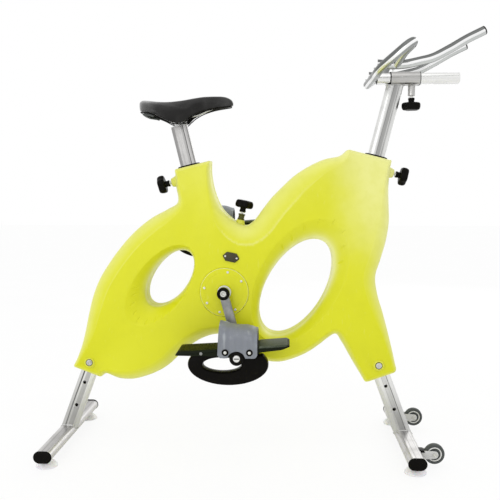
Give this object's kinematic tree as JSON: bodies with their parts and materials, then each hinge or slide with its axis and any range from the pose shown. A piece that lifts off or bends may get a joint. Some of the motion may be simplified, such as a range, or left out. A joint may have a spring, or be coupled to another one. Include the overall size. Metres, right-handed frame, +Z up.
{
  "type": "water exercise bike",
  "caption": "Pool exercise bike with a hollow moulded figure-eight body on steel legs, sliding saddle and handlebar, cranks with strapped pedals, and transport wheels.",
  "frame": {"origin": "on the floor, under the middle of the outer box", "axes": "+X forward, towards the handlebar and transport wheels; +Y to the rider's left; +Z up"},
  "size_m": [1.2546, 0.5, 1.2294],
  "materials": {
    "body": "satin, slightly translucent",
    "stainless": "polished stainless steel",
    "black_plastic": "satin",
    "grey_plastic": "matt",
    "white_plastic": "satin",
    "clear_rubber": "soft, pale",
    "grey_rubber": "matt",
    "saddle_cover": "padded cover",
    "crank_paint": "satin grey",
    "collar_metal": "dull olive"
  },
  "bodies": {
    "frame": {"body_shell": "body", "seat_collar_plate": "black_plastic", "handlebar_collar_plate": "black_plastic", "tension_collar": "collar_metal", "cover_disc_right": "body", "cover_disc_left": "body", "bearing_housing_right": "white_plastic", "bearing_housing_left": "white_plastic", "bearing_right": "stainless", "bearing_left": "stainless", "rear_leg_bolt": "stainless", "front_leg_bolt": "stainless"},
    "rear_leg": {"rear_leg_tube": "stainless", "rear_stabiliser": "stainless", "rear_end_cap_right": "black_plastic", "rear_end_cap_left": "black_plastic", "rear_foot_right": "clear_rubber", "rear_foot_left": "clear_rubber"},
    "front_leg": {"front_leg_tube": "stainless", "front_stabiliser": "stainless", "front_end_cap_right": "black_plastic", "front_end_cap_left": "black_plastic", "front_foot_right": "clear_rubber", "front_foot_left": "clear_rubber", "wheel_fork_right": "white_plastic", "wheel_fork_left": "white_plastic"},
    "crank": {"crank_axle": "stainless", "brake_drum": "stainless", "crank_arm_right": "crank_paint", "crank_arm_left": "crank_paint", "crank_cap_right": "black_plastic", "crank_cap_left": "black_plastic"},
    "pedal_right": {"pedal_body_right": "black_plastic", "foot_plate_right": "black_plastic", "toe_strap_right": "grey_plastic"},
    "pedal_left": {"pedal_body_left": "black_plastic", "foot_plate_left": "black_plastic", "toe_strap_left": "grey_plastic"},
    "brake_spindle": {"brake_rod": "stainless", "brake_pad": "black_plastic"},
    "tension_hand_knob": {"tension_knob": "black_plastic"},
    "seat_hand_knob": {"seat_knob": "black_plastic"},
    "handlebar_hand_knob": {"handlebar_knob": "black_plastic"},
    "slide_hand_knob": {"slide_knob": "black_plastic"},
    "seat_column": {"seat_post": "stainless", "seat_post_head": "stainless"},
    "saddle": {"saddle_clamp": "black_plastic", "saddle_rails": "stainless", "saddle_base": "black_plastic", "saddle_cushion": "saddle_cover"},
    "handlebar_column": {"handlebar_post": "stainless", "slide_sleeve": "stainless"},
    "handlebar": {"slide_tube": "stainless", "grip_bar": "stainless", "horn_right": "stainless", "horn_left": "stainless", "horn_cap_right": "black_plastic", "horn_cap_left": "black_plastic"},
    "transport_wheel_right": {"wheel_right": "grey_rubber"},
    "transport_wheel_left": {"wheel_left": "grey_rubber"}
  },
  "joints": [
    {"name": "crank_spin", "type": "hinge", "parent": "frame", "child": "crank", "pos_m": [-0.10339, 0, 0.48], "axis": [0, 1, 0], "continuous": true},
    {"name": "pedal_right_spin", "type": "hinge", "parent": "crank", "child": "pedal_right", "pos_m": [-0.05796, -0.165, 0.31618], "axis": [0, 1, 0], "continuous": true},
    {"name": "pedal_left_spin", "type": "hinge", "parent": "crank", "child": "pedal_left", "pos_m": [-0.14883, 0.165, 0.64382], "axis": [0, 1, 0], "continuous": true},
    {"name": "seat_post_slide", "type": "slide", "parent": "frame", "child": "seat_column", "axis": [-0.2385, 0, 0.9711], "range_m": [-0.07, 0.12]},
    {"name": "saddle_tilt", "type": "hinge", "parent": "seat_column", "child": "saddle", "pos_m": [-0.24676, 0, 0.98229], "axis": [0, 1, 0], "range_deg": [-8, 8]},
    {"name": "handlebar_post_slide", "type": "slide", "parent": "frame", "child": "handlebar_column", "axis": [0.247, 0, 0.969], "range_m": [-0.09, 0.1]},
    {"name": "handlebar_slide", "type": "slide", "parent": "handlebar_column", "child": "handlebar", "axis": [1, 0, 0], "range_m": [-0.1, 0.035]},
    {"name": "seat_knob_turn", "type": "hinge", "parent": "frame", "child": "seat_hand_knob", "pos_m": [-0.28358, 0, 0.7968], "axis": [-0.9711, 0, -0.2385], "continuous": true},
    {"name": "handlebar_knob_turn", "type": "hinge", "parent": "frame", "child": "handlebar_hand_knob", "pos_m": [0.41033, 0, 0.82279], "axis": [0.969, 0, -0.247], "continuous": true},
    {"name": "slide_knob_turn", "type": "hinge", "parent": "handlebar_column", "child": "slide_hand_knob", "pos_m": [0.44231, 0, 1.03319], "axis": [0, 0, -1], "continuous": true},
    {"name": "brake_travel", "type": "slide", "parent": "frame", "child": "brake_spindle", "axis": [-0.2053, 0, -0.9787], "range_m": [0, 0.0035]},
    {"name": "rear_leg_height", "type": "slide", "parent": "frame", "child": "rear_leg", "axis": [0.3486, 0, 0.9373], "range_m": [0, 0.152]},
    {"name": "front_leg_height", "type": "slide", "parent": "frame", "child": "front_leg", "axis": [-0.3486, 0, 0.9373], "range_m": [0, 0.152]},
    {"name": "tension_turn", "type": "hinge", "parent": "brake_spindle", "child": "tension_hand_knob", "pos_m": [-0.0531, 0, 0.71978], "axis": [-0.2053, 0, -0.9787], "range_deg": [0, 1008]},
    {"name": "wheel_right_spin", "type": "hinge", "parent": "front_leg", "child": "transport_wheel_right", "pos_m": [0.49541, -0.165, 0.0395], "axis": [0, 1, 0], "continuous": true},
    {"name": "wheel_left_spin", "type": "hinge", "parent": "front_leg", "child": "transport_wheel_left", "pos_m": [0.49541, 0.165, 0.0395], "axis": [0, 1, 0], "continuous": true}
  ],
  "couplings": [
    {"joint": "tension_turn", "follows": "brake_travel", "rad_per_m": 5026.5}
  ]
}
